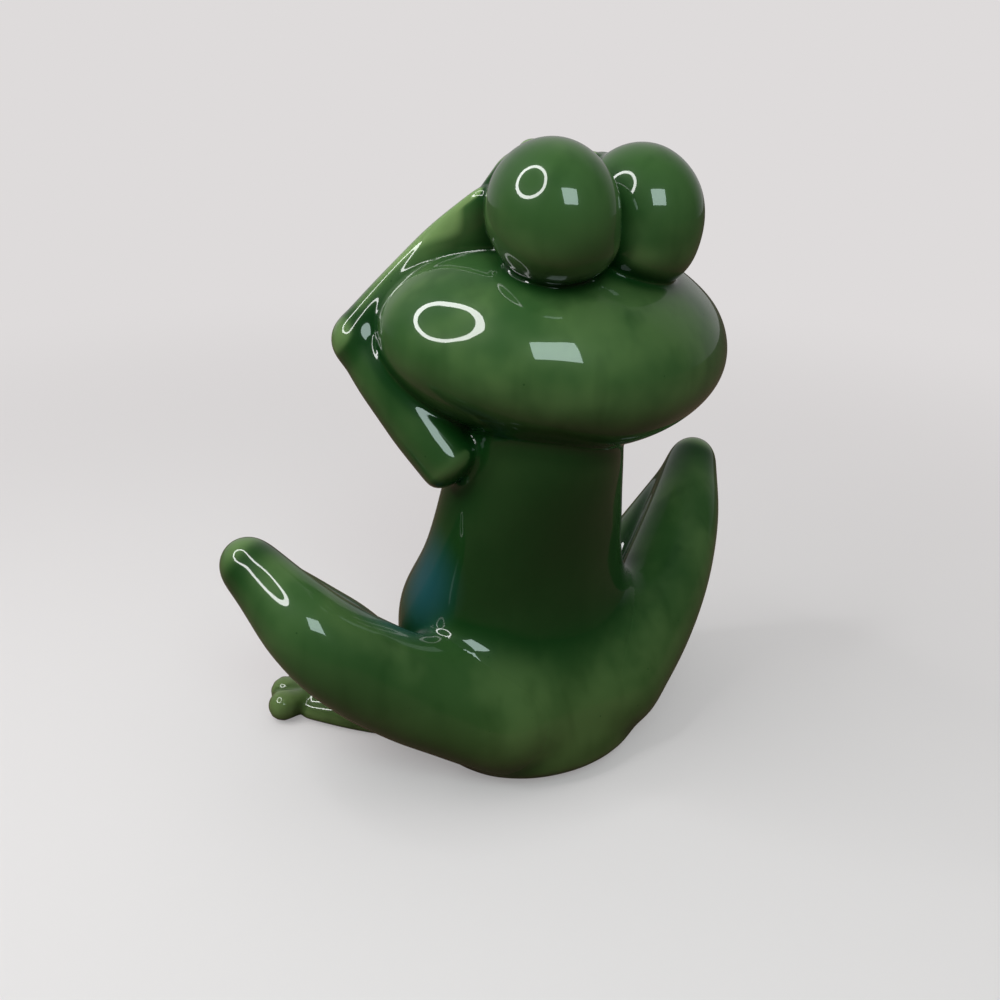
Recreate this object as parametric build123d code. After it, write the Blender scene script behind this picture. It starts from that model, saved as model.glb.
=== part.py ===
from build123d import *
import math
import os

os.makedirs("parts", exist_ok=True)

# A sitting frog in glazed earthenware with both hands over its eyes, built up from
# castings and rolled limbs that are joined with slip before firing.
# The frog faces -Y, its left side is +X, and it stands on Z = 0.

# Casting sizes
wall = 3.6                  # clay wall of the hollow torso and head
drain_bore = 10             # hole in the foot where the slip is poured out
neck_bore = 3               # air vent from the head into the torso
overrun = 1                 # how far a cutting form runs past what it cuts
mouth_width = 1.3           # width of the mouth groove
mouth_depth = 1.0           # depth of the mouth groove
nostril_radius = 1.3

# Torso, a tall pear whose belly leans forward
torso_height = 92
torso_half_width = 30
torso_half_depth = 25
torso_back_step = 3         # neck of the torso behind the middle of the figure
belly_lean = 12             # how far the belly swings forward of the neck
cavity_last_row = 7         # row of the lists below where the cavity ends, under the neck
torso_height_shares = (0, 0.03, 0.08, 0.16, 0.28, 0.42, 0.56, 0.70, 0.84, 1)
torso_width_shares = (0.66, 0.85, 0.96, 1.02, 1.03, 0.98, 0.86, 0.755, 0.65, 0.59)
torso_depth_shares = (0.64, 0.84, 0.96, 1.00, 1.02, 0.91, 0.76, 0.76, 0.78, 0.62)
torso_lean_shares = (0.24, 0.25, 0.30, 0.50, 0.98, 1.14, 0.86, 0.67, 0.49, 0.21)
rump_half_width = 26        # the swelling between the hips, low at the back
rump_half_depth = 14.5
rump_half_height = 13
rump_back = 6.5             # middle of the rump behind the neck
rump_height = 20

# Head, a wide flattened egg that looks slightly up and is set a little askew
head_half_width = 40.4
head_half_depth = 34.75
head_half_height = 22.3
head_side = -7.4
head_front_step = 11.35     # middle of the head in front of the middle of the neck
head_rise = 9.2             # middle of the head above the top of the neck
head_turn_angle = -8
head_lean_angle = -4.2
head_lift_angle = -7
mouth_radius = 84           # radius of the smile, seen from the front
mouth_drop = 5              # middle of the mouth below the middle of the head
mouth_half_span = 33        # half of the mouth's length across the head
nostril_side = 5
nostril_rise = 7

# Crown, the frame of the eyes and arms, which face another way than the head
crown_side = 2.9            # its middle from the middle of the head
crown_back = 7.85
crown_rise = 0.8
crown_turn_angle = 4.7
crown_lean_angle = -4.1
crown_lift_angle = -13.8

# Eyes, two tall domes side by side on the head
eye_side = 12
eye_front = -1.1
eye_lift = 6.7              # middle of the eyes above the top of the head
eye_half_width = 12.3
eye_half_depth = 15.2
eye_half_height = 13.9

# Arms, from the shoulders out to the elbows and back to the eyes
shoulder_row = 8            # row of the lists above where the shoulders sit
left_shoulder_out = 2.5     # shoulder outside the side of the torso, in its row
left_shoulder_front = -0.38
left_shoulder_drop = 0.48
right_shoulder_out = -2.7
right_shoulder_front = 7.52
right_shoulder_drop = 0.28
elbow_out = 5.2             # elbow outside the side of the head
elbow_front = 9.3           # and in front of and below the middle of the crown
elbow_drop = 0.8
forearm_side_inset = 9.4    # middle of the forearm inside the head's half sizes
forearm_front_inset = 20.25
forearm_top_inset = 12.1
wrist_out = 7               # wrist outside the middle of its eye
wrist_front = 14.4          # and in front of and below it
wrist_drop = 10.4
upper_arm_radii = (6.9, 7.2, 7.1, 6.4, 5.2)
forearm_heights = (5.9, 5.6, 6.2, 7.6, 8.6)
forearm_depths = (5.6, 5.2, 5, 4.8, 4.6)
sleeve_end_share = 0.45     # bulge of the blunt shoulder end over its radius

# Hands, a palm on the front of each eye and three fingers up over it
right_hand_drop = 2         # how much lower the right hand sits on its eye
palm_side_share = 0.28      # places on the eye as shares of its half sizes
palm_front_share = -0.83
palm_rise_share = -0.26
palm_half_width = 7.4
palm_half_depth = 3.4
palm_half_height = 6.6
finger_radius = 2.5
fingertip_radius = 2.8
finger_tip_shares = ((0.16, -0.62, 0.66), (-0.22, -0.68, 0.58), (-0.52, -0.74, 0.26))
finger_bend_shares = ((0.30, -0.80, 0.30), (-0.04, -0.86, 0.28), (-0.26, -0.88, 0.08))

# Legs, splayed wide with the knees high and the feet flat on the table
hip_side_inset = 12.8       # hip inside the side of the torso
hip_back_inset = 14.8       # and inside its half depth, at the back
hip_height = 14.4
knee_side = 64.5
knee_front = -18.1
knee_height = 56.3
thigh_sag = 3               # drop of the middle of the thigh below a straight line
thigh_radii = (12, 12.6, 12.4, 11.4, 9.2, 6)
ankle_side = 26
ankle_front = -15
ankle_height = 8
shin_bulge = 1              # how far the calf swings outwards
shin_radii = (5.2, 9.6, 11.6, 10.4, 7.6)
heel_in = 0.5               # start of the foot inwards of and in front of the ankle
heel_front = 1.8
foot_out = 19               # ball of the foot outwards of and in front of the heel
foot_front = 20.2
foot_half_heights = (6, 6.2, 5, 4)
foot_half_widths = (7, 7.4, 7.4, 6.6)
toe_reach = 8.6             # from the ball of the foot to the middle of a toe tip
toe_spread_angle = 42
toe_radius = 2.9
toe_tip_radius = 3.5


def ellipsoid(half_x, half_y, half_z):
    """An egg made of a back and a front half, each a plain patch of skin."""
    half_align = (Align.CENTER, Align.MIN, Align.CENTER)
    half = scale(Sphere(1, arc_size3=180, align=half_align), by=(half_x, half_y, half_z))
    return half + Rotation(0, 0, 180) * half


def limb(path, side_radii, up_radii, up, first_bulge=1, last_bulge=1):
    """A tapering limb: ellipses carried along a path, with domed ends."""
    count = len(side_radii)
    sections = []
    planes = []
    for index in range(count):
        share = index / (count - 1)
        plane = Plane(origin=path @ share, x_dir=up, z_dir=path % share)
        planes.append(plane)
        sections.append(plane * Ellipse(up_radii[index], side_radii[index]))
    body = loft(sections)
    ends = ((planes[0], 0, 180, first_bulge), (planes[-1], -1, 0, last_bulge))
    for plane, index, turn_angle, bulge in ends:
        half_ball = Sphere(1, arc_size1=0, align=(Align.CENTER, Align.CENTER, Align.MIN))
        height = bulge * min(up_radii[index], side_radii[index])
        dome = scale(half_ball, by=(up_radii[index], side_radii[index], height))
        body += plane * Rotation(turn_angle, 0, 0) * dome
    return body


def between(first, last, share):
    """The point at a share of the way from the first point to the last."""
    return first + (last - first) * share


# Torso: ellipses stacked from the foot to the neck, and a cavity one wall inside them
sections = []
cavity_sections = []
cavity_top = torso_height * torso_height_shares[cavity_last_row]
torso_rows = zip(torso_height_shares, torso_width_shares, torso_depth_shares, torso_lean_shares)
for row, (height_share, width_share, depth_share, lean_share) in enumerate(torso_rows):
    height = torso_height * height_share
    middle = torso_back_step - belly_lean * lean_share
    half_width = torso_half_width * width_share
    half_depth = torso_half_depth * depth_share
    sections.append(Plane((0, middle, height)) * Ellipse(half_width, half_depth))
    if 0 < row <= cavity_last_row:
        inner = Plane((0, middle, max(height, wall)))
        cavity_sections.append(inner * Ellipse(half_width - wall, half_depth - wall))
rump_place = Pos(0, torso_back_step + rump_back, rump_height)
rump = rump_place * ellipsoid(rump_half_width, rump_half_depth, rump_half_height)
torso_form = loft(sections) + rump
cavity = loft(cavity_sections)
seat_middle = torso_back_step - belly_lean * torso_lean_shares[0]
drain = Pos(0, seat_middle, 0) * Cylinder(drain_bore / 2, 2 * (wall + overrun))

# Head and eyes
head_height = torso_height + head_rise
head_place = (
    Location((head_side, torso_back_step - head_front_step, head_height))
    * Rotation(0, 0, head_turn_angle)
    * Rotation(0, head_lean_angle, 0)
    * Rotation(head_lift_angle, 0, 0)
)
head_form = head_place * ellipsoid(head_half_width, head_half_depth, head_half_height)
crown_middle = Vector(
    head_side + crown_side,
    torso_back_step - head_front_step + crown_back,
    head_height + crown_rise,
)
crown_place = (
    Location(crown_middle)
    * Rotation(0, 0, crown_turn_angle)
    * Rotation(0, crown_lean_angle, 0)
    * Rotation(crown_lift_angle, 0, 0)
)
head_cavity = head_place * ellipsoid(
    head_half_width - wall, head_half_depth - wall, head_half_height - wall
)


eye_rise = head_half_height + eye_lift


def crown_point(side, front, rise):
    """A point given from the middle of the crown, in the figure's own frame."""
    return (crown_place * Location((side, front, rise))).position


def eye_form(side):
    centre = Location((side * eye_side, eye_front, eye_rise))
    return crown_place * centre * ellipsoid(eye_half_width, eye_half_depth, eye_half_height)


# The mouth is a ring seen from the front, filled again to the depth of the groove
mouth_ring = Cylinder(mouth_radius + mouth_width / 2, 2 * head_half_depth)
mouth_ring -= Cylinder(mouth_radius - mouth_width / 2, 2 * head_half_depth)
mouth_place = Pos(0, -head_half_depth, mouth_radius - mouth_drop) * Rotation(90, 0, 0)
mouth_window = Box(2 * mouth_half_span, 2 * head_half_depth, 2 * head_half_height)
mouth_slot = (mouth_place * mouth_ring) & (Pos(0, -head_half_depth, 0) * mouth_window)
head_skin = ellipsoid(head_half_width, head_half_depth, head_half_height) - mouth_slot
head_skin += ellipsoid(
    head_half_width - mouth_depth, head_half_depth - mouth_depth, head_half_height - mouth_depth
)
head = head_place * head_skin - head_cavity
nostril_front = head_half_depth * math.sqrt(
    1 - (nostril_side / head_half_width) ** 2 - (nostril_rise / head_half_height) ** 2
)
for side in (1, -1):
    nostril = Pos(side * nostril_side, -nostril_front, nostril_rise) * Sphere(nostril_radius)
    head -= head_place * nostril
neck_vent = Cylinder(
    neck_bore / 2, head_height - cavity_top, align=(Align.CENTER, Align.CENTER, Align.MIN)
)
neck_vent = Pos(0, torso_back_step, cavity_top - overrun) * neck_vent
head -= neck_vent
torso = torso_form - head_form - cavity - drain - neck_vent

left_eye_form = eye_form(1)
right_eye_form = eye_form(-1)
half_space = Box(2 * head_half_width, 4 * eye_half_depth, 4 * eye_half_height)
left_half = crown_place * Pos(head_half_width, 0, eye_rise) * half_space
right_half = crown_place * Pos(-head_half_width, 0, eye_rise) * half_space
eyes = {
    "left": (left_eye_form & left_half) - head_form,
    "right": (right_eye_form & right_half) - head_form,
}
nodes = {"torso": torso, "head": head, "left_eye": eyes["left"], "right_eye": eyes["right"]}

# Limbs, made for one side and then for the other
table = Pos(0, 0, -torso_height) * Box(4 * torso_height, 4 * torso_height, 2 * torso_height)
upwards = Vector(0, 0, 1)
forwards = Vector(0, -1, 0)
eye_shape = left_eye_form + right_eye_form
shoulder_side = torso_half_width * torso_width_shares[shoulder_row]
shoulder_middle = torso_back_step - belly_lean * torso_lean_shares[shoulder_row]
shoulder_height = torso_height * torso_height_shares[shoulder_row]
for name, side, shoulder_out, shoulder_front, shoulder_drop, hand_drop in (
    ("left", 1, left_shoulder_out, left_shoulder_front, left_shoulder_drop, 0),
    ("right", -1, right_shoulder_out, right_shoulder_front, right_shoulder_drop, right_hand_drop),
):
    shoulder = Vector(
        side * (shoulder_side + shoulder_out),
        shoulder_middle - shoulder_front,
        shoulder_height - shoulder_drop,
    )
    elbow = crown_point(side * (head_half_width + elbow_out), -elbow_front, -elbow_drop)
    upper_arm_form = limb(
        Line(shoulder, elbow), upper_arm_radii, upper_arm_radii, forwards, sleeve_end_share, 1
    )
    forearm_middle = crown_point(
        side * (head_half_width - forearm_side_inset),
        forearm_front_inset - head_half_depth,
        head_half_height - forearm_top_inset,
    )
    wrist = crown_point(
        side * (eye_side + wrist_out),
        eye_front - wrist_front,
        eye_rise - wrist_drop,
    )
    forearm_path = Spline(elbow, forearm_middle, wrist)
    forearm_form = limb(forearm_path, forearm_heights, forearm_depths, forwards)
    forearm = forearm_form - head_form - eye_shape
    upper_arm = upper_arm_form - head_form - torso_form - forearm_form

    def eye_point(shares):
        return crown_point(
            side * (eye_side + eye_half_width * shares[0]),
            eye_front + eye_half_depth * shares[1],
            eye_rise + eye_half_height * shares[2] - hand_drop,
        )

    palm_shares = (palm_side_share, palm_front_share, palm_rise_share)
    palm_centre = eye_point(palm_shares)
    palm_place = Location(palm_centre) * Rotation(crown_lift_angle, 0, 0)
    hand = palm_place * ellipsoid(palm_half_width, palm_half_depth, palm_half_height)
    for bend_shares, tip_shares in zip(finger_bend_shares, finger_tip_shares):
        path = Spline(palm_centre, eye_point(bend_shares), eye_point(tip_shares))
        radii = (finger_radius, finger_radius, finger_radius, fingertip_radius)
        hand += limb(path, radii, radii, forwards)
    hand = hand - eye_shape - head_form - forearm_form

    hip = Vector(
        side * (torso_half_width - hip_side_inset), torso_half_depth - hip_back_inset, hip_height
    )
    knee = Vector(side * knee_side, knee_front, knee_height)
    thigh_middle = between(hip, knee, 0.5) - upwards * thigh_sag
    thigh_form = limb(Spline(hip, thigh_middle, knee), thigh_radii, thigh_radii, upwards)
    thigh = thigh_form - torso_form

    ankle = Vector(side * ankle_side, ankle_front, ankle_height)
    shin_middle = between(knee, ankle, 0.5) + Vector(side * shin_bulge, 0, 0)
    shin_form = limb(Spline(knee, shin_middle, ankle), shin_radii, shin_radii, forwards)
    shin = shin_form - thigh_form - torso_form - table

    heel = Vector(
        side * (ankle_side - heel_in), ankle_front - heel_front, foot_half_heights[0] / 2
    )
    toe_root = Vector(heel.X + side * foot_out, heel.Y - foot_front, foot_half_heights[-1] / 2)
    foot = limb(Line(heel, toe_root), foot_half_widths, foot_half_heights, upwards)
    ahead = (toe_root - heel).normalized()
    for turn in (-1, 0, 1):
        across = ahead.rotate(Axis.Z, turn * toe_spread_angle)
        root = Vector(toe_root.X, toe_root.Y, toe_radius)
        tip = root + across * toe_reach
        tip = Vector(tip.X, tip.Y, toe_tip_radius - toe_radius / 4)
        toe_radii = (toe_radius, toe_radius, toe_tip_radius)
        foot += limb(Line(root, tip), toe_radii, toe_radii, upwards)
    foot = foot - shin_form - thigh_form - torso_form - table

    nodes[f"{name}_upper_arm"] = upper_arm
    nodes[f"{name}_forearm"] = forearm
    nodes[f"{name}_hand"] = hand
    nodes[f"{name}_thigh"] = thigh
    nodes[f"{name}_shin"] = shin
    nodes[f"{name}_foot"] = foot

# The origin is on the table, under the middle of the whole figure
boxes = [shape.bounding_box() for shape in nodes.values()]
middle_x = (min(box.min.X for box in boxes) + max(box.max.X for box in boxes)) / 2
middle_y = (min(box.min.Y for box in boxes) + max(box.max.Y for box in boxes)) / 2
to_origin = Pos(-middle_x, -middle_y, 0)
print("middle of the neck from the origin:", torso_back_step - middle_y)
for name, shape in nodes.items():
    export_step(to_origin * shape, f"parts/{name}.step")
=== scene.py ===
import bpy
import numpy as np
from mathutils import Matrix, Vector


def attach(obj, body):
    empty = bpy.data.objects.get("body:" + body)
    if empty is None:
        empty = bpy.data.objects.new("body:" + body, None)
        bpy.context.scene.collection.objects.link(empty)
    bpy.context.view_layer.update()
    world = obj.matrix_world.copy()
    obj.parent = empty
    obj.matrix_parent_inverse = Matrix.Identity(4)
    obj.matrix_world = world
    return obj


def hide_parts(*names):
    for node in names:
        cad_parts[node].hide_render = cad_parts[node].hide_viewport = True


# A sitting frog in green glazed earthenware, with its hands over its eyes.
# Lengths are in millimetres up to the point where a mesh is made. The frog faces -Y and its
# left side is +X. Every form is a function from points to their distance from its skin, and
# the whole frog is one soft union of them, called the clay. A piece is a grid of rays, sent
# out from the middle of its own form until they meet the clay.

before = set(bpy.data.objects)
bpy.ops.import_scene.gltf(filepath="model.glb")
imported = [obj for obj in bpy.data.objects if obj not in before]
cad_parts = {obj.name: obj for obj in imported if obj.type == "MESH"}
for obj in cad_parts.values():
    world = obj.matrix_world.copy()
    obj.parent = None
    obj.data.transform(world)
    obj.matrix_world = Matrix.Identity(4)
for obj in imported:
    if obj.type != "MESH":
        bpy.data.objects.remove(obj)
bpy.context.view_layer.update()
print("frame loaded, nodes:", len(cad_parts))

figure = dict(
    millimetre=0.001,
    shift=(0.0, 11.375, 0.0),       # from the modelling origin to the middle of the figure's box
    groove=2.4,                     # reach of the slip and glaze that soften a joint
    wobble=0.10,                    # unevenness of hand-finished clay
    wobbleLengths=(31.0, 23.0, 17.0),
    wobbleWay=(1.0, 0.7, -0.5),     # the way of the first wave, which the others turn round
)
forwards = np.array([0.0, -1.0, 0.0])
upwards = np.array([0.0, 0.0, 1.0])


# Small tools

def smoothStep(value):
    # 0 below 0, 1 above 1, and 3v^2 - 2v^3 between
    value = np.clip(value, 0.0, 1.0)
    return value * value * (3.0 - 2.0 * value)


def softMin(first, second, reach):
    # the smaller of two distances, less h^3 * reach / 6, where h falls from 1 to 0 as they part
    near = np.maximum(reach - np.abs(first - second), 0.0) / reach
    return np.minimum(first, second) - near**3 * reach / 6.0


def turned(axis, degrees):
    # turning matrix about a main axis: cosines on the diagonal, plus and minus sine off it
    cosine, sine = np.cos(np.radians(degrees)), np.sin(np.radians(degrees))
    matrix = np.eye(3)
    first, second = {"X": (1, 2), "Y": (2, 0), "Z": (0, 1)}[axis]
    matrix[first, first] = matrix[second, second] = cosine
    matrix[first, second], matrix[second, first] = -sine, sine
    return matrix


def axesOf(piece):
    # a piece is lifted about X, then leaned about Y, then turned about Z
    return turned("Z", piece["turn"]) @ turned("Y", piece["lean"]) @ turned("X", piece["lift"])


def naturalCurve(places, values, count=600):
    # natural cubic through the values: its second derivatives solve a three-banded system,
    # and between two places the cubic is a*y0 + b*y1 + ((a^3-a)*m0 + (b^3-b)*m1) * h^2 / 6
    x = np.asarray(places, float)
    y = np.asarray(values, float).reshape(len(x), -1)
    h = np.diff(x)
    system = np.eye(len(x))
    right = np.zeros_like(y)
    i = np.arange(1, len(x) - 1)
    system[i, i - 1] = h[:-1]
    system[i, i] = 2 * (h[:-1] + h[1:])
    system[i, i + 1] = h[1:]
    slopes = np.diff(y, axis=0) / h[:, None]
    right[i] = 6 * np.diff(slopes, axis=0)
    bend = np.linalg.solve(system, right)
    at = np.linspace(x[0], x[-1], count)
    k = np.clip(np.searchsorted(x, at, side="right") - 1, 0, len(x) - 2)
    a = ((x[k + 1] - at) / h[k])[:, None]
    b = 1 - a
    table = a * y[k] + b * y[k + 1]
    table += ((a**3 - a) * bend[k] + (b**3 - b) * bend[k + 1]) * h[k][:, None] ** 2 / 6
    return at, table


def lookUp(at, table, value):
    # every column of a fine table, read between its rows at the given places
    return np.stack([np.interp(value, at, column) for column in table.T], axis=-1)


# Kinds of form

formMaking = dict(
    guard=1e-6,                     # keeps a sum off zero before something is divided by it
    endSoft=0.06,                   # share of a limb over which its ends are rounded
    limbCapRows=14,
    pearCapRows=30,
)


def eggForm(centre, halfSizes, axes, fullness=2.0):
    # with q = place / half size, r = (x^n + y^n)^(1/n) measures the level section and
    # g = sqrt(r^2 + z^2) is 1 on the skin; (g - 1) / |slope of g| is the distance
    centre = np.asarray(centre, float)
    halfSizes = np.asarray(halfSizes, float)
    guard = formMaking["guard"]

    def distance(points):
        q = (points - centre) @ axes / halfSizes
        x, y, z = np.abs(q[..., 0]) + guard, np.abs(q[..., 1]) + guard, q[..., 2]
        r = (x**fullness + y**fullness) ** (1.0 / fullness)
        g = np.sqrt(r**2 + z**2)
        slope = np.stack([
            x ** (fullness - 1) * r ** (2 - fullness),
            y ** (fullness - 1) * r ** (2 - fullness),
            z,
        ], axis=-1) / g[..., None] / halfSizes
        return (g - 1.0) / np.sqrt((slope**2).sum(axis=-1) + guard**2)

    distance.rays = lambda rows, columns: eggRays(centre, halfSizes, axes, rows, columns)
    return distance


def eggRays(centre, halfSizes, axes, rows, columns):
    # directions over a ball from pole to pole, (sin p cos a, sin p sin a, cos p), times the
    # half sizes
    polar = np.linspace(0.0, np.pi, rows)[:, None]
    around = np.linspace(0.0, 2 * np.pi, columns, endpoint=False)[None, :]
    ball = np.stack([
        np.sin(polar) * np.cos(around),
        np.sin(polar) * np.sin(around),
        np.cos(polar) + 0.0 * around,
    ], axis=-1)
    directions = (ball * halfSizes) @ axes.T
    return np.broadcast_to(centre, directions.shape), directions


def limbForm(points, sideRadii, upRadii, up, firstBulge=1.0):
    # ellipses whose middles and radii follow natural curves along the limb's chord. The share s
    # of the chord is held softly between 0 and 1, (|s| - |s - 1| + 1) / 2 with each |v| taken
    # as sqrt(v^2 + soft^2), which rounds both ends into domes
    points = np.asarray(points, float)
    start, end = points[0], points[-1]
    length = np.linalg.norm(end - start)
    along = (end - start) / length
    side = np.cross(up, along)
    side /= np.linalg.norm(side)
    over = np.cross(along, side)
    axes = np.stack([side, over, along], axis=1)
    at, middles = naturalCurve(((points - start) @ along) / length, points)
    radiusShares = np.linspace(0.0, 1.0, len(sideRadii))
    radiusAt, radii = naturalCurve(radiusShares, np.stack([sideRadii, upRadii], axis=1))
    soft = formMaking["endSoft"]
    guard = formMaking["guard"]

    def distance(p):
        chord = ((p - start) @ along) / length
        share = 0.5 * (np.sqrt(chord**2 + soft**2) - np.sqrt((chord - 1)**2 + soft**2) + 1)
        middle = lookUp(at, middles, share)
        radius = lookUp(radiusAt, radii, share)
        endRadius = radius.min(axis=-1) * np.where(chord < 0.5, firstBulge, 1.0)
        allRadii = np.concatenate([radius, endRadius[..., None]], axis=-1)
        q = ((p - middle) @ axes) / allRadii + guard
        g = np.sqrt((q**2).sum(axis=-1))
        slope = q / g[..., None] / allRadii
        return (g - 1.0) / np.sqrt((slope**2).sum(axis=-1))

    def rays(rows, columns):
        # a fan of rings along the spine, with half a ball of directions at each end
        capRows = formMaking["limbCapRows"]
        around = np.linspace(0.0, 2 * np.pi, columns, endpoint=False)[None, :]
        cap = np.linspace(0.0, np.pi / 2, capRows, endpoint=False)
        tilt = np.concatenate([cap, np.full(rows, np.pi / 2), np.pi - cap[::-1]])[:, None]
        share = np.concatenate([np.zeros(capRows), np.linspace(0, 1, rows), np.ones(capRows)])
        middle = lookUp(at, middles, share)
        radius = lookUp(radiusAt, radii, share)
        ring = np.stack([
            np.sin(tilt) * np.cos(around) * radius[:, :1],
            np.sin(tilt) * np.sin(around) * radius[:, 1:],
            -np.cos(tilt) * radius.min(axis=1)[:, None] + 0.0 * around,
        ], axis=-1)
        directions = ring @ axes.T
        return np.broadcast_to(middle[:, None, :], directions.shape), directions

    distance.rays = rays
    return distance


def pearForm(table, height, castRows):
    # a stack of level ellipses: g = sqrt((x / width)^2 + (y / depth)^2) is 1 on the skin, and
    # its slope takes in how the widths, depths and middles change with the height
    at, columns = naturalCurve(table[0], np.stack(table[1:], axis=1))
    steps = np.gradient(columns, at, axis=0)

    def distance(points):
        level = np.clip(points[..., 2], 0.0, height)
        width, depth, middle = np.moveaxis(lookUp(at, columns, level), -1, 0)
        widthStep, depthStep, middleStep = np.moveaxis(lookUp(at, steps, level), -1, 0)
        x = points[..., 0]
        y = points[..., 1] - middle
        g = np.sqrt((x / width) ** 2 + (y / depth) ** 2) + formMaking["guard"]
        slopeX = x / width**2 / g
        slopeY = y / depth**2 / g
        slopeZ = -(x * slopeX * widthStep / width + slopeY * (middleStep + y * depthStep / depth))
        slope = np.sqrt(slopeX**2 + slopeY**2 + slopeZ**2) + formMaking["guard"]
        return np.maximum((g - 1.0) / slope, points[..., 2] - height)

    def rays(rows, ringColumns):
        # rings of level rays up the axis, with half a ball of directions at each end
        capRows = formMaking["pearCapRows"]
        around = np.linspace(0.0, 2 * np.pi, ringColumns, endpoint=False)[None, :]
        low, high = castRows
        cap = np.linspace(0.0, np.pi / 2, capRows, endpoint=False)
        tilt = np.concatenate([cap, np.full(rows, np.pi / 2), np.pi - cap[::-1]])[:, None]
        level = np.concatenate([
            np.full(capRows, low),
            np.linspace(low, high, rows),
            np.full(capRows, high),
        ])
        width, depth, middle = lookUp(at, columns, level).T
        directions = np.stack([
            np.sin(tilt) * np.cos(around) * width[:, None],
            np.sin(tilt) * np.sin(around) * depth[:, None],
            -np.cos(tilt) * low + 0.0 * around,
        ], axis=-1)
        origins = np.stack([0 * level, middle, level], axis=-1)[:, None, :]
        return np.broadcast_to(origins, directions.shape), directions

    distance.rays = rays
    return distance


# Torso

torso = dict(
    height=92.0,
    halfWidth=30.0,
    halfDepth=25.0,
    backStep=3.0,
    lean=12.0,
    heightShares=(0, 0.03, 0.08, 0.16, 0.28, 0.42, 0.56, 0.70, 0.84, 1),
    widthShares=(0.66, 0.85, 0.96, 1.02, 1.03, 0.98, 0.86, 0.755, 0.65, 0.59),
    depthShares=(0.64, 0.84, 0.96, 1.00, 1.02, 0.91, 0.76, 0.76, 0.78, 0.62),
    leanShares=(0.24, 0.25, 0.30, 0.50, 0.98, 1.14, 0.86, 0.67, 0.49, 0.21),
    footRound=2.0,                  # rounding of the edge that stands on the table
    castRows=(9.0, 86.0),           # lowest and highest ring of rays
)
torsoForm = pearForm(
    (
        torso["height"] * np.array(torso["heightShares"]),
        torso["halfWidth"] * np.array(torso["widthShares"]),
        torso["halfDepth"] * np.array(torso["depthShares"]),
        torso["backStep"] - torso["lean"] * np.array(torso["leanShares"]),
    ),
    torso["height"],
    torso["castRows"],
)

# Head

head = dict(
    middle=(-7.4, -8.35, 101.2),
    halfSizes=(41.5, 36.6, 22.2),
    fullness=1.8,                   # the level section is more pointed than an ellipse
    turn=-8.0,
    lean=-4.2,
    lift=-7.0,
    mouthRadius=84.0,
    mouthDrop=5.0,
    mouthHalfSpan=33.0,
    mouthFade=4.0,                  # length over which the groove runs out at its ends
    mouthDepth=1.0,
    mouthHalfWidth=0.8,
    nostrilSide=5.0,
    nostrilRise=7.0,
    nostrilDepth=1.2,
    nostrilRadius=1.2,
)
headAxes = axesOf(head)
headMiddle = np.array(head["middle"])
plainHead = eggForm(headMiddle, head["halfSizes"], headAxes, head["fullness"])


def headForm(points):
    # the egg, with a groove pressed along the arc of the mouth and a dimple at each nostril:
    # each adds depth * exp(-(distance from it / its half width)^2)
    distance = plainHead(points)
    q = (points - headMiddle) @ headAxes
    x, y, z = q[..., 0], q[..., 1], q[..., 2]
    centreRise = head["mouthRadius"] - head["mouthDrop"]
    off = np.hypot(x, z - centreRise) - head["mouthRadius"]
    fade = smoothStep((head["mouthHalfSpan"] - np.abs(x)) / head["mouthFade"])
    onFace = (y < 0) * (z < centreRise)
    groove = head["mouthDepth"] * np.exp(-((off / head["mouthHalfWidth"]) ** 2)) * fade * onFace
    offNostril = np.hypot(np.abs(x) - head["nostrilSide"], z - head["nostrilRise"])
    dimple = np.exp(-((offNostril / head["nostrilRadius"]) ** 2)) * (y < 0)
    return distance + groove + head["nostrilDepth"] * dimple


headForm.rays = plainHead.rays

# Eyes

crown = dict(                       # eyes, elbows and wrists are set out from here
    middle=(-4.5, -0.5, 102.0),
    turn=4.7,
    lean=-4.1,
    lift=-13.8,
)
eyes = dict(
    side=12.0,
    front=-1.1,
    rise=29.0,
    halfSizes=(12.3, 15.2, 13.9),
    rightStretch=1.4,               # the right eye reaches further down
    rootRise=26.0,                  # a squarer root under each dome
    rootSide=11.0,
    rootHalfSizes=(11.8, 14.4, 10.6),
    rootFullness=2.4,
    rootReach=2.0,
)
crownAxes = axesOf(crown)


def crownPoint(side, front, rise):
    # a place told from the crown: its middle + its axes times the three lengths
    return np.array(crown["middle"]) + crownAxes @ np.array([side, front, rise])


def eyeForm(side):
    # soft union of a dome and its root
    stretch = 0.0 if side > 0 else eyes["rightStretch"]
    centre = crownPoint(side * eyes["side"], eyes["front"], eyes["rise"] - stretch)
    dome = eggForm(centre, np.array(eyes["halfSizes"]) + (0.0, 0.0, stretch), crownAxes)
    rootCentre = crownPoint(side * eyes["rootSide"], eyes["front"], eyes["rootRise"] - stretch)
    root = eggForm(rootCentre, eyes["rootHalfSizes"], crownAxes, eyes["rootFullness"])

    def distance(points):
        return softMin(dome(points), root(points), eyes["rootReach"])

    distance.rays = dome.rays
    return distance


# Arms and hands

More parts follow.
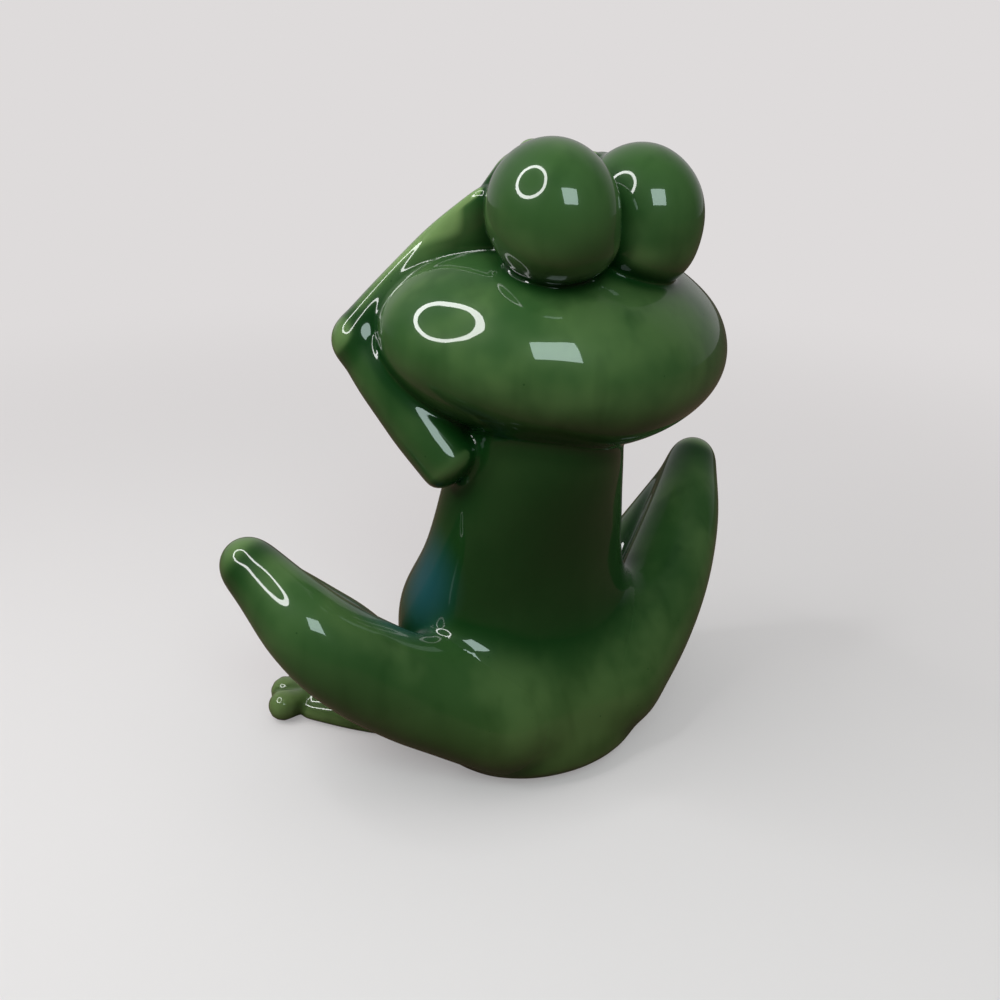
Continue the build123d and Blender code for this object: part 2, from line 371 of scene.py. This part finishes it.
arm = dict(
    leftShoulder=(22.0, -2.5, 76.8),
    rightShoulder=(-16.8, -10.4, 77.0),
    elbow=(35.2, -26.1, -10.1),     # elbow, forearm and wrist are measured from the crown
    forearm=(20.3, -23.6, 7.0),
    wrist=(11.3, -12.4, 20.3),
    upperRadii=(6.9, 7.3, 7.3, 6.9, 6.0),
    forearmHeights=(6.6, 7.2, 8.4, 10.4, 12.6),
    forearmDepths=(6.2, 5.6, 5.0, 4.6, 4.4),
    shoulderBulge=0.45,             # the shoulder's end is blunt
)
hand = dict(
    rightDrop=2.0,
    palm=(-0.14, -0.98, -0.20),     # palm, bends and tips are shares of the eye's half sizes
    palmHalfSizes=(8.2, 3.6, 7.6),
    tips=((-0.16, -0.84, 0.52), (-0.50, -0.82, 0.54), (-0.80, -0.82, 0.28)),
    bends=((0.00, -1.01, 0.18), (-0.36, -1.02, 0.20), (-0.68, -0.97, 0.02)),
    fingerRadii=(2.6, 2.7, 2.8),
    web=4.2,                        # reach of the web between palm and fingers
    castShares=(1.0, 1.2, 1.4),     # the rays' ball, as shares of the palm
)


def upperArmForm(side):
    # a limb from shoulder to elbow
    shoulder = arm["leftShoulder"] if side > 0 else arm["rightShoulder"]
    elbow = crownPoint(side * arm["elbow"][0], *arm["elbow"][1:])
    return limbForm([shoulder, elbow], arm["upperRadii"], arm["upperRadii"], forwards,
                    firstBulge=arm["shoulderBulge"])


def forearmForm(side):
    # a limb from the elbow to the wrist, which widens into a flat wing
    stops = [crownPoint(side * x, y, z) for x, y, z in (arm["elbow"], arm["forearm"], arm["wrist"])]
    return limbForm(stops, arm["forearmHeights"], arm["forearmDepths"], forwards)


def handForm(side):
    # palm and three fingers, joined by a web of slip
    drop = 0.0 if side > 0 else hand["rightDrop"]

    def eyePoint(shares):
        return crownPoint(
            side * (eyes["side"] + eyes["halfSizes"][0] * shares[0]),
            eyes["front"] + eyes["halfSizes"][1] * shares[1],
            eyes["rise"] + eyes["halfSizes"][2] * shares[2] - drop,
        )

    palmAt = eyePoint(hand["palm"])
    palmAxes = turned("X", crown["lift"])
    palm = eggForm(palmAt, hand["palmHalfSizes"], palmAxes)
    fingers = [
        limbForm([palmAt, eyePoint(bend), eyePoint(tip)],
                 hand["fingerRadii"], hand["fingerRadii"], forwards)
        for bend, tip in zip(hand["bends"], hand["tips"])
    ]

    def distance(points):
        total = palm(points)
        for finger in fingers:
            total = softMin(total, finger(points), hand["web"])
        return total

    reach = np.array(hand["palmHalfSizes"]) * hand["castShares"]
    distance.rays = lambda rows, columns: eggRays(palmAt, reach, palmAxes, rows, columns)
    return distance


# Legs and feet

leg = dict(
    hip=(17.2, 9.4, 14.9),
    leftBends=((40.2, -0.6, 29.0), (57.3, -8.2, 45.0)),
    rightBends=((39.2, -1.4, 29.6), (54.6, -11.0, 46.2)),
    leftKnee=(63.5, -22.6, 54.8),
    rightKnee=(64.2, -20.0, 55.8),
    thighRadii=(11.8, 12.4, 12.2, 11.0, 9.2, 6.5),
    ankle=(26.0, -15.0, 8.0),
    shinBow=1.0,                    # how far the shin bows outwards
    shinRadii=(5.0, 8.0, 10.6, 10.4, 7.6),
)
foot = dict(
    heel=(25.5, -16.8),
    toeRoot=(44.5, -37.0),
    halfHeights=(6.0, 6.2, 5.0, 4.0),
    halfWidths=(7.0, 7.4, 7.4, 6.6),
    toeTurns=(-42.0, 0.0, 42.0),
    toeReach=8.6,
    toeRadius=3.2,
    toeTipRadius=4.1,
    web=1.4,
)


def kneeOf(side):
    # mirrored with the side
    return np.array(leg["leftKnee"] if side > 0 else leg["rightKnee"]) * (side, 1, 1)


def thighForm(side):
    # a limb from the hip over two bends to the knee
    bends = leg["leftBends"] if side > 0 else leg["rightBends"]
    stops = [np.array(stop) * (side, 1, 1) for stop in (leg["hip"], *bends)]
    return limbForm(stops + [kneeOf(side)], leg["thighRadii"], leg["thighRadii"], upwards)


def shinForm(side):
    # a limb from the knee to the ankle, bowed outwards in the middle
    knee = kneeOf(side)
    ankle = np.array(leg["ankle"]) * (side, 1, 1)
    middle = (knee + ankle) / 2 + np.array([side * leg["shinBow"], 0, 0])
    return limbForm([knee, middle, ankle], leg["shinRadii"], leg["shinRadii"], forwards)


def footForm(side):
    # sole and three toes, joined by a web of slip
    heel = np.array([side * foot["heel"][0], foot["heel"][1], foot["halfHeights"][0] / 2])
    root = np.array([side * foot["toeRoot"][0], foot["toeRoot"][1], foot["halfHeights"][-1] / 2])
    sole = limbForm([heel, root], foot["halfWidths"], foot["halfHeights"], upwards)
    ahead = (root - heel) / np.linalg.norm(root - heel)
    radii = (foot["toeRadius"], foot["toeRadius"], foot["toeTipRadius"])
    toes = []
    for turn in foot["toeTurns"]:
        first = np.array([root[0], root[1], foot["toeRadius"]])
        tip = first + turned("Z", turn) @ ahead * foot["toeReach"]
        tip[2] = foot["toeTipRadius"] - foot["toeRadius"] / 4
        toes.append(limbForm([first, tip], radii, radii, upwards))

    def distance(points):
        total = sole(points)
        for toe in toes:
            total = softMin(total, toe(points), foot["web"])
        return total

    distance.rays = sole.rays
    return distance


# The clay

forms = dict(torso=torsoForm, head=headForm)
for name, side in (("left", 1), ("right", -1)):
    forms[name + "_thigh"] = thighForm(side)
    forms[name + "_shin"] = shinForm(side)
    forms[name + "_foot"] = footForm(side)
    forms[name + "_eye"] = eyeForm(side)
    forms[name + "_upper_arm"] = upperArmForm(side)
    forms[name + "_forearm"] = forearmForm(side)
    forms[name + "_hand"] = handForm(side)

order = ["torso", "left_thigh", "right_thigh", "left_shin", "right_shin", "left_foot",
         "right_foot", "head", "left_eye", "right_eye", "left_upper_arm", "right_upper_arm",
         "left_forearm", "right_forearm", "left_hand", "right_hand"]

hipBlend = dict(back=18.0, front=3.0, backAt=10.0, frontAt=-10.0, lowAt=4.0, highAt=22.0)


def jointReach(name, points):
    # how far the slip reaches into a joint; at the hips it grows from front to back and from
    # the table upwards, so that they flow into the back and stay crisp in front
    if not name.endswith("thigh"):
        return figure["groove"]
    across = (points[..., 1] - hipBlend["frontAt"]) / (hipBlend["backAt"] - hipBlend["frontAt"])
    over = (points[..., 2] - hipBlend["lowAt"]) / (hipBlend["highAt"] - hipBlend["lowAt"])
    share = smoothStep(across) * smoothStep(over)
    return hipBlend["front"] + (hipBlend["back"] - hipBlend["front"]) * share


def wobble(points):
    # the mean of three slow waves that cross each other
    total = 0.0
    for turn, length in enumerate(figure["wobbleLengths"]):
        across = points @ np.roll(np.array(figure["wobbleWay"]), turn)
        total = total + np.sin(2 * np.pi * across / length + turn)
    return figure["wobble"] * total / 3


def clay(points, names, ownName=None, reach=None):
    # soft union of the named forms, cut flat on the table; also the distance of the own form
    # and that of the nearest other one
    total = None
    own = None
    nearest = np.full(points.shape[:-1], np.inf)
    for name in names:
        value = forms[name](points)
        width = jointReach(name, points) if reach is None else reach
        total = value if total is None else softMin(total, value, width)
        if name == ownName:
            own = value
        else:
            nearest = np.minimum(nearest, value)
    total = total + wobble(points)
    total = -softMin(-total, points[..., 2], torso["footRound"])
    return total, own, nearest


# How thick the glaze lies, with painted light and shade in the coats of some pieces

glazeCoatAndPaintedLight = dict(                   # thicker than usual is above 0, in poolings; the torso's and upper arms' coats are painted shade, the forearms' and hands' painted light
    torso=1.25,
    torsoShadeRise=(16.0, 42.0),         # painted shade from the head: it darkens the torso from the waist up and fades towards the foot
    head=0.12,
    eye=0.16,
    # painted shade on the upper arms, painted light on the forearms and hands
    arm=0.72,
    forearm=-0.9,
    hand=-0.6,
    thigh=0.34,
    shin=0.62,
    foot=-0.10,
    reach=5.0,                      # over this distance one coat turns into the next
    poolReach=9.0,                  # how far from a joint the glaze runs thick
    poolMost=3.0,
    curveStep=1.6,                  # stride over which the roundness of the skin is measured
    sheds=(0.18, 0.30),             # roundness from which bends shed glaze, and all of it
)


def coatAndPaintedLightAt(points, names):
    # the coats of all forms near a point, weighed by exp(-(distance / reach)^2); the torso's and
    # upper arms' coats paint shade, the forearms' and hands' paint light
    total = 0.0
    weights = formMaking["guard"]
    for name in names:
        kind = name.split("_")[-1]
        weight = np.exp(-((np.maximum(forms[name](points), 0.0) / glazeCoatAndPaintedLight["reach"]) ** 2))
        coat = glazeCoatAndPaintedLight[kind]
        # the torso's coat is painted shade cast by the head
        if kind == "torso":
            low, high = glazeCoatAndPaintedLight["torsoShadeRise"]
            coat = coat * smoothStep((points[..., 2] - low) / (high - low))
        total = total + weight * coat
        weights = weights + weight
    return total / weights


def roundness(points, names):
    # sum of the six neighbours' distances, less six times the own one, over the stride squared
    h = glazeCoatAndPaintedLight["curveStep"]
    total = clay(points, names)[0]
    curve = -6.0 * total
    for axis in np.concatenate([np.eye(3), -np.eye(3)]):
        curve = curve + clay(points + axis * h, names)[0]
    return np.clip(curve / h**2, -1.0, 1.0)


def poolingAndPaintedLight(points, names, curve):
    # how deep a wide fillet would bury the point, except on sharp outer bends, plus its coat, which
    # carries painted shade and light
    softened = clay(points, names, reach=glazeCoatAndPaintedLight["poolReach"])[0]
    least, most = glazeCoatAndPaintedLight["sheds"]
    kept = 1.0 - smoothStep((curve - least) / (most - least))
    return np.clip(-softened, 0.0, glazeCoatAndPaintedLight["poolMost"]) * kept + coatAndPaintedLightAt(points, names)


# Casting a piece out of the clay

casting = dict(
    dive=0.3,                       # how deep a piece goes on under the one that covers it
    diveReach=1.2,
    steps=160,
    stride=0.75,                    # share of the distance that one step goes
    shortest=0.03,
    longest=4.0,
    halvings=14,
)


def castPiece(ownName, names, rows, columns, grow):
    # every ray goes outwards in steps of a share of its distance from the skin, and then the
    # last step is halved again and again
    origins, directions = forms[ownName].rays(rows, columns)
    shape = directions.shape
    origins = origins.reshape(-1, 3)
    directions = directions.reshape(-1, 3)
    directions = directions / np.linalg.norm(directions, axis=1, keepdims=True)

    def skin(travel, live):
        points = origins[live] + directions[live] * travel[:, None]
        total, own, nearest = clay(points, names, ownName)
        dive = casting["dive"] * smoothStep((own - nearest) / casting["diveReach"])
        return np.maximum(total + dive, own - grow)

    everyRay = np.arange(len(origins))
    low, high, travel = np.zeros((3, len(origins)))
    live = everyRay
    for _ in range(casting["steps"]):
        value = skin(travel[live], live)
        out = value > 0
        high[live[out]] = travel[live[out]]
        low[live[~out]] = travel[live[~out]]
        live = live[~out]
        if not len(live):
            break
        step = -casting["stride"] * value[~out]
        travel[live] += np.clip(step, casting["shortest"], casting["longest"])
    high[live] = travel[live]
    for _ in range(casting["halvings"]):
        middle = (low + high) / 2
        inside = skin(middle, everyRay) < 0
        low = np.where(inside, middle, low)
        high = np.where(inside, high, middle)
    points = origins + directions * ((low + high) / 2)[:, None]

    curve = roundness(points, names)
    pool = poolingAndPaintedLight(points, names, curve)
    return points.reshape(shape), pool.reshape(shape[:2]), curve.reshape(shape[:2])


def makePiece(ownName, names, rows, columns, grow):
    # one point for each pole, rings of four-sided faces between, fans of triangles at the poles
    grid, pool, curve = castPiece(ownName, names, rows, columns, grow)
    count = grid.shape[0] - 2

    def gathered(values):
        between = values[1:-1].reshape((-1,) + values.shape[2:])
        return np.concatenate([values[:1, 0], between, values[-1:, 0]])

    points = (gathered(grid) + figure["shift"]) * figure["millimetre"]
    ring = np.arange(columns)
    following = np.roll(ring, -1)
    starts = 1 + columns * np.arange(count - 1)[:, None]
    quads = np.stack([starts + ring, starts + columns + ring, starts + columns + following,
                      starts + following], axis=-1).reshape(-1, 4)
    last = 1 + columns * (count - 1)
    firstFan = np.stack([0 * ring, 1 + ring, 1 + following], axis=-1)
    lastFan = np.stack([0 * ring + len(points) - 1, last + following, last + ring], axis=-1)
    faces = quads.tolist() + firstFan.tolist() + lastFan.tolist()

    # the sign of the enclosed volume says whether the faces look out
    first, second, third, fourth = np.moveaxis(points[quads], 1, 0)
    halves = np.cross(first, second) * third + np.cross(first, third) * fourth
    if halves.sum() < 0:
        faces = [face[::-1] for face in faces]

    mesh = bpy.data.meshes.new("glazed_" + ownName)
    mesh.from_pydata(points.tolist(), [], faces)
    mesh.update()
    mesh.polygons.foreach_set("use_smooth", np.ones(len(faces), bool))
    # pool holds real pooling in joints together with the painted shade and light of the coats
    for label, values in (("pool", pool), ("curve", curve)):
        layer = mesh.attributes.new(label, "FLOAT", "POINT")
        layer.data.foreach_set("value", gathered(values).astype(np.float32))
    piece = bpy.data.objects.new("glazed_" + ownName, mesh)
    bpy.context.scene.collection.objects.link(piece)
    return piece


# Glaze

def linear(hexColour):
    # sRGB hex to linear: ((c + 0.055) / 1.055)^2.4, and c / 12.92 near black
    values = [int(hexColour[i:i + 2], 16) / 255 for i in (1, 3, 5)]
    return tuple(v / 12.92 if v <= 0.04045 else ((v + 0.055) / 1.055) ** 2.4 for v in values) + (1,)


def addNode(tree, kind, inputs=None, **settings):
    # a node with its settings; an input, by name or number, is a value or a link (node, output)
    node = tree.nodes.new(kind)
    for key, value in settings.items():
        setattr(node, key, value)
    for key, value in (inputs or {}).items():
        if isinstance(value, tuple) and isinstance(value[0], bpy.types.Node):
            tree.links.new(value[0].outputs[value[1]], node.inputs[key])
        else:
            node.inputs[key].default_value = value
    return node


glaze = dict(
    body="#33562b",                 # full-strength green over white slip
    thin="#76945a",                 # where it drew thin over small round forms; also the painted light on the forearms and hands
    deep="#06330d",                 # where it ran thick into joints, and painted shade on the torso and upper arms
    olive="#3f4a1e",                # towards the foot
    paintedUnderShade="#1d2408",                # painted shade and brown reflection of the table on surfaces that face down
    flankReflection="#2c6478",                # painted reflection of something blue on the left flank
    clay="#c9b79a",                 # bare fired clay under the foot
    flankReflectionAt=(0.034, 0.002, 0.049),  # metres
    mottleSize=22.2,                # millimetres, as are the next four
    runWidth=5.88,
    pinholeSpace=5.88,
    rippleLength=6.25,
    rippleHeight=0.2,
    rippleStrength=0.25,            # share of that height which shows
    runDraw=0.13,                   # a run is drawn out downwards to its width over this
    # each mask goes from a least to a most share while its source goes between two values
    thinMask=(0.07, 0.42, 0.0, 1.0),
    mottledMask=(0.25, 0.7, 0.45, 1.0),
    palerMask=(0.42, 0.68, 0.0, 0.28),
    runMask=(0.50, 0.78, 0.0, 0.30),
    oliveMask=(0.045, 0.004, 0.0, 0.45),
    drawnAndLitMask=(0.0, -0.5, 0.0, 0.95),
    # painted shade and table reflection where the normal points down
    paintedUnderShadeMask=(-0.1, -0.85, 0.0, 0.8),
    pooledAndShadedMask=(0.1, 1.3, 0.0, 0.92),
    flankReflectionMask=(0.018, 0.004, 0.0, 0.55),
    pinholeMask=(0.05, 0.02, 0.0, 0.6),
    bareMask=(0.0006, 0.0003, 0.0, 1.0),
    roughness=0.3,                  # of the coloured ground under the gloss
    bareRoughness=0.55,             # how much rougher bare clay is
    groundIor=1.5,
    groundSpecular=0.08,
    glossRoughness=0.025,
    glossIor=1.55,
)


def glossyGreenGlaze():
    # Transparent green glaze poured over pale earthenware and fired: a deep wet gloss, paler
    # where it is thin, near black where it pools, with faint runs down the sides.
    # Its colour also carries painted light, shade and reflection, named at each layer.
    material = bpy.data.materials.new("glossy green pottery glaze")
    material.use_nodes = True
    tree = material.node_tree
    tree.nodes.clear()
    perMetre = 1 / figure["millimetre"]
    place = addNode(tree, "ShaderNodeTexCoord")
    here = (place, "Object")
    apart = addNode(tree, "ShaderNodeSeparateXYZ", {"Vector": here})
    pool = addNode(tree, "ShaderNodeAttribute", attribute_name="pool")
    curve = addNode(tree, "ShaderNodeAttribute", attribute_name="curve")
    facing = addNode(tree, "ShaderNodeNewGeometry")
    lies = addNode(tree, "ShaderNodeSeparateXYZ", {"Vector": (facing, "Normal")})
    # distance from the middle of the painted blue reflection on the left flank
    fromFlankReflection = addNode(tree, "ShaderNodeVectorMath", {0: here, 1: glaze["flankReflectionAt"]},
                        operation="DISTANCE")

    # mottling about 22 mm across, and runs 6 mm wide that are drawn out downwards
    mottle = addNode(tree, "ShaderNodeTexNoise", {
        "Vector": here, "Scale": perMetre / glaze["mottleSize"], "Detail": 3.0, "Roughness": 0.5})
    drawnOut = addNode(tree, "ShaderNodeMapping", {
        "Vector": here, "Scale": (1.0, 1.0, glaze["runDraw"])})
    runs = addNode(tree, "ShaderNodeTexNoise", {
        "Vector": (drawnOut, "Vector"), "Scale": perMetre / glaze["runWidth"], "Detail": 2.0,
        "Roughness": 0.45})

    # dark pinholes a quarter of a millimetre across, a few to the square centimetre
    cells = addNode(tree, "ShaderNodeTexVoronoi", {
        "Vector": here, "Scale": perMetre / glaze["pinholeSpace"], "Randomness": 1.0})

    sources = dict(
        thin=(curve, "Fac"),        # small round forms
        mottled=(mottle, "Fac"),
        paler=(mottle, "Fac"),
        run=(runs, "Fac"),
        olive=(apart, "Z"),
        drawnAndLit=(pool, "Fac"),        # thin coats, which are painted light on the forearms and hands
        # painted shade and table reflection on surfaces that face down
        paintedUnderShade=(lies, "Z"),
        pooledAndShaded=(pool, "Fac"),       # thick coats: real pooling in joints, and painted shade on the torso and upper arms
        # painted reflection of something blue on the left flank
        flankReflection=(fromFlankReflection, "Value"),
        pinhole=(cells, "Distance"),
        bare=(apart, "Z"),          # the glaze is wiped off the lowest half millimetre
    )
    masks = {}
    for label, source in sources.items():
        start, end, least, most = glaze[label + "Mask"]
        masks[label] = addNode(tree, "ShaderNodeMapRange", {
            "Value": source, "From Min": start, "From Max": end, "To Min": least,
            "To Max": most}, interpolation_type="SMOOTHSTEP")
    masks["thin"] = addNode(tree, "ShaderNodeMath", {
        0: (masks["thin"], 0), 1: (masks["mottled"], 0)}, operation="MULTIPLY")

    # layers: thin glaze, paler patches, runs, olive foot, painted light on forearms and hands,
    # painted shade and table reflection underneath, pooling and painted shade on torso and upper
    # arms, painted blue reflection on the flank, pinholes, bare clay
    colour = linear(glaze["body"])
    for tone, label in (("thin", "thin"), ("thin", "paler"), ("deep", "run"), ("olive", "olive"),
                        ("thin", "drawnAndLit"), ("paintedUnderShade", "paintedUnderShade"), ("deep", "pooledAndShaded"),
                        ("flankReflection", "flankReflection"), ("deep", "pinhole"), ("clay", "bare")):
        layer = addNode(tree, "ShaderNodeMix", {
            0: (masks[label], 0), 6: colour, 7: linear(glaze[tone])}, data_type="RGBA")
        colour = (layer, 2)

    # orange-peel ripples about 6 mm long and a hundredth of a millimetre high
    ripple = addNode(tree, "ShaderNodeTexNoise", {
        "Vector": here, "Scale": perMetre / glaze["rippleLength"], "Detail": 1.0,
        "Roughness": 0.4})
    bump = addNode(tree, "ShaderNodeBump", {
        "Height": (ripple, "Fac"), "Strength": glaze["rippleStrength"],
        "Distance": glaze["rippleHeight"] * figure["millimetre"]})
    roughness = addNode(tree, "ShaderNodeMath", {
        0: (masks["bare"], 0), 1: glaze["bareRoughness"], 2: glaze["roughness"]},
        operation="MULTIPLY_ADD")
    glazed = addNode(tree, "ShaderNodeMath", {0: 1.0, 1: (masks["bare"], 0)},
                     operation="SUBTRACT")
    surface = addNode(tree, "ShaderNodeBsdfPrincipled", {
        "Base Color": colour, "Roughness": (roughness, 0), "Normal": (bump, "Normal"),
        "Coat Normal": (bump, "Normal"), "Coat Weight": (glazed, 0),
        "Coat Roughness": glaze["glossRoughness"], "Coat IOR": glaze["glossIor"],
        "IOR": glaze["groundIor"], "Specular IOR Level": glaze["groundSpecular"]})
    addNode(tree, "ShaderNodeOutputMaterial", {"Surface": (surface, "BSDF")})
    return material


# Pieces

grids = dict(torso=(150, 256), head=(250, 320), eye=(180, 224), arm=(110, 128), forearm=(120, 128),
             hand=(150, 150), thigh=(140, 160), shin=(120, 128), foot=(130, 150))
grows = dict(usual=1.2, torso=6.0, thigh=6.0)   # how far a piece may stand out of its own form


def neighboursOf(name):
    # the forms that a piece can touch, in the order in which the clay joins them
    side = name.split("_")[0]
    myLeg = [side + part for part in ("_thigh", "_shin", "_foot")]
    myArm = [side + part for part in ("_upper_arm", "_forearm", "_hand")]
    legs = [s + part for s in ("left", "right") for part in ("_thigh", "_shin", "_foot")]
    arms = [s + part for s in ("left", "right") for part in ("_upper_arm", "_forearm", "_hand")]
    bothEyes = ["left_eye", "right_eye"]
    touching = {
        "torso": ["torso", "head", "left_upper_arm", "right_upper_arm"] + legs,
        "head": ["torso", "head"] + bothEyes + arms,
        "eye": ["head", "left_forearm", "right_forearm", "left_hand", "right_hand"] + bothEyes,
        "thigh": ["torso"] + myLeg,
        "shin": ["torso"] + myLeg,
        "foot": ["torso"] + myLeg,
        "arm": ["torso", "head"] + bothEyes + myArm,
        "forearm": ["head"] + bothEyes + myArm,
        "hand": ["head", side + "_forearm", "left_hand", "right_hand"] + bothEyes,
    }[name.split("_")[-1]]
    return [other for other in order if other in touching]


glazeMaterial = glossyGreenGlaze()
for name in order:
    kind = name.split("_")[-1]
    piece = makePiece(name, neighboursOf(name), *grids[kind], grows.get(kind, grows["usual"]))
    piece.data.materials.append(glazeMaterial)
    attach(piece, "root")
    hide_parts(name)
    print("made", name, len(piece.data.polygons))

# Studio

studio = dict(
    pale="#dedbdb",
    table="#5c4d3a",                # what the glaze and the shaded sides see of the table
    floorHalf=3.0,                  # metres
    floorFade=(0.05, 0.5, 0.35, 1.0),       # metres from the figure, and share of backdrop
    lensMillimetres=36.108,
    eye=(120.985, 185.388, 161.001),        # the camera, as fitted to the photographed outline
    right=(-0.8515, 0.5240, 0.0191),
    up=(-0.2017, -0.3611, 0.9104),
    forward=(-0.4840, -0.7714, -0.4132),
    lampTarget=(14.0, 20.551, 128.0),
    ringFrom=(0.71, -0.21, 0.66),
    ringAway=330.0,
    ringRadius=141.0,
    ringInner=0.8,                  # share of the radius that stays dark
    ringWatts=2.6,
    boxFrom=(0.29, 0.72, 0.63),
    boxAway=420.0,
    boxSize=(175.0, 170.0),
    boxWatts=0.72,
    boxColour="#d3eae6",
    room="#f4f2f2",
    roomRise=(-0.1, 0.9, 0.12, 0.80),       # upward share of a ray, and how bright it is there
    farSide=(-0.53, -0.85, 0.0),
    farRise=(0.15, 0.85, 0.02, 0.42),       # the same for gloss, from the near to the far side
)


def floorSheet():
    # pale to the camera and brown to the rest, fading into the backdrop away from the figure
    half = studio["floorHalf"]
    mesh = bpy.data.meshes.new("floor")
    mesh.from_pydata([(-half, -half, 0), (half, -half, 0), (half, half, 0), (-half, half, 0)],
                     [], [(0, 1, 2, 3)])
    floor = bpy.data.objects.new("floor", mesh)
    bpy.context.scene.collection.objects.link(floor)
    paper = bpy.data.materials.new("pale backdrop paper")
    paper.use_nodes = True
    tree = paper.node_tree
    tree.nodes.clear()
    path = addNode(tree, "ShaderNodeLightPath")
    tone = addNode(tree, "ShaderNodeMix", {
        0: (path, "Is Camera Ray"), 6: linear(studio["table"]), 7: linear(studio["pale"])},
        data_type="RGBA")
    sheet = addNode(tree, "ShaderNodeBsdfPrincipled", {"Base Color": (tone, 2), "Roughness": 0.9})
    where = addNode(tree, "ShaderNodeNewGeometry")
    away = addNode(tree, "ShaderNodeVectorMath", {0: (where, "Position")}, operation="LENGTH")
    start, end, least, most = studio["floorFade"]
    fade = addNode(tree, "ShaderNodeMapRange", {
        "Value": (away, "Value"), "From Min": start, "From Max": end, "To Min": least,
        "To Max": most}, interpolation_type="SMOOTHSTEP")
    share = addNode(tree, "ShaderNodeMath", {0: (fade, "Result"), 1: (path, "Is Camera Ray")},
                    operation="MULTIPLY")
    glow = addNode(tree, "ShaderNodeEmission", {"Color": linear(studio["pale"]), "Strength": 1.0})
    both = addNode(tree, "ShaderNodeMixShader", {
        0: (share, 0), 1: (sheet, "BSDF"), 2: (glow, 0)})
    addNode(tree, "ShaderNodeOutputMaterial", {"Surface": (both, 0)})
    mesh.materials.append(paper)


def addLamp(label, shape, away, sizes, watts, fromWhere):
    # a flat lamp that looks at the target from a direction
    scale = figure["millimetre"]
    direction = Vector(fromWhere).normalized()
    data = bpy.data.lights.new(label, "AREA")
    data.shape = shape
    data.size = sizes[0] * scale
    data.size_y = sizes[1] * scale
    data.energy = watts
    lamp = bpy.data.objects.new(label, data)
    lamp.location = (Vector(studio["lampTarget"]) + direction * away) * scale
    lamp.rotation_euler = direction.to_track_quat("Z", "Y").to_euler()
    lamp.visible_camera = False
    bpy.context.scene.collection.objects.link(lamp)
    return data


def ringLamp():
    # a round lamp that shines only where 2 * |place on it - its middle| is above a share
    size = 2 * studio["ringRadius"]
    data = addLamp("ring lamp", "DISK", studio["ringAway"], (size, size), studio["ringWatts"],
                   studio["ringFrom"])
    data.use_nodes = True
    tree = data.node_tree
    where = addNode(tree, "ShaderNodeNewGeometry")
    centred = addNode(tree, "ShaderNodeVectorMath", {
        0: (where, "Parametric"), 1: (0.5, 0.5, 0.0)}, operation="SUBTRACT")
    flat = addNode(tree, "ShaderNodeVectorMath", {
        0: (centred, "Vector"), 1: (2.0, 2.0, 0.0)}, operation="MULTIPLY")
    length = addNode(tree, "ShaderNodeVectorMath", {0: (flat, "Vector")}, operation="LENGTH")
    rim = addNode(tree, "ShaderNodeMath", {0: (length, "Value"), 1: studio["ringInner"]},
                  operation="GREATER_THAN")
    tree.links.new(rim.outputs[0], tree.nodes["Emission"].inputs["Strength"])


def room():
    # pale to the camera; shaded sides see it brighten upwards, and the gloss sees a dim near
    # side and a paler far side
    world = bpy.data.worlds.new("room")
    bpy.context.scene.world = world
    world.use_nodes = True
    tree = world.node_tree
    tree.nodes.clear()
    path = addNode(tree, "ShaderNodeLightPath")
    place = addNode(tree, "ShaderNodeTexCoord")
    towards = addNode(tree, "ShaderNodeVectorMath", {
        0: (place, "Generated"), 1: studio["farSide"]}, operation="DOT_PRODUCT")
    upright = addNode(tree, "ShaderNodeSeparateXYZ", {"Vector": (place, "Generated")})
    bright = {}
    for label, source in (("farRise", (towards, "Value")), ("roomRise", (upright, "Z"))):
        start, end, least, most = studio[label]
        bright[label] = addNode(tree, "ShaderNodeMapRange", {
            "Value": source, "From Min": start, "From Max": end, "To Min": least, "To Max": most})
    seen = addNode(tree, "ShaderNodeMix", {
        0: (path, "Is Glossy Ray"), 2: (bright["roomRise"], 0), 3: (bright["farRise"], 0)},
        data_type="FLOAT")
    glow = addNode(tree, "ShaderNodeBackground", {
        "Color": linear(studio["room"]), "Strength": (seen, 0)})
    backdrop = addNode(tree, "ShaderNodeBackground", {
        "Color": linear(studio["pale"]), "Strength": 1.0})
    choose = addNode(tree, "ShaderNodeMixShader", {
        0: (path, "Is Camera Ray"), 1: (glow, 0), 2: (backdrop, 0)})
    addNode(tree, "ShaderNodeOutputWorld", {"Surface": (choose, 0)})


def camera():
    # its axes are right, up and the opposite of forward
    data = bpy.data.cameras.new("camera")
    data.sensor_width = 36.0
    data.lens = studio["lensMillimetres"]
    data.clip_start = 0.01
    eye = bpy.data.objects.new("camera", data)
    right, up, forward = (Vector(studio[key]) for key in ("right", "up", "forward"))
    turn = Matrix((right, up, -forward)).transposed().to_quaternion()
    eye.matrix_world = Matrix.LocRotScale(Vector(studio["eye"]) * figure["millimetre"], turn, None)
    bpy.context.scene.collection.objects.link(eye)
    bpy.context.scene.camera = eye


floorSheet()
ringLamp()
softBox = addLamp("soft box", "RECTANGLE", studio["boxAway"], studio["boxSize"],
                  studio["boxWatts"], studio["boxFrom"])
softBox.color = linear(studio["boxColour"])[:3]
room()
camera()
bpy.context.scene.view_settings.view_transform = "Standard"
print("studio ready")
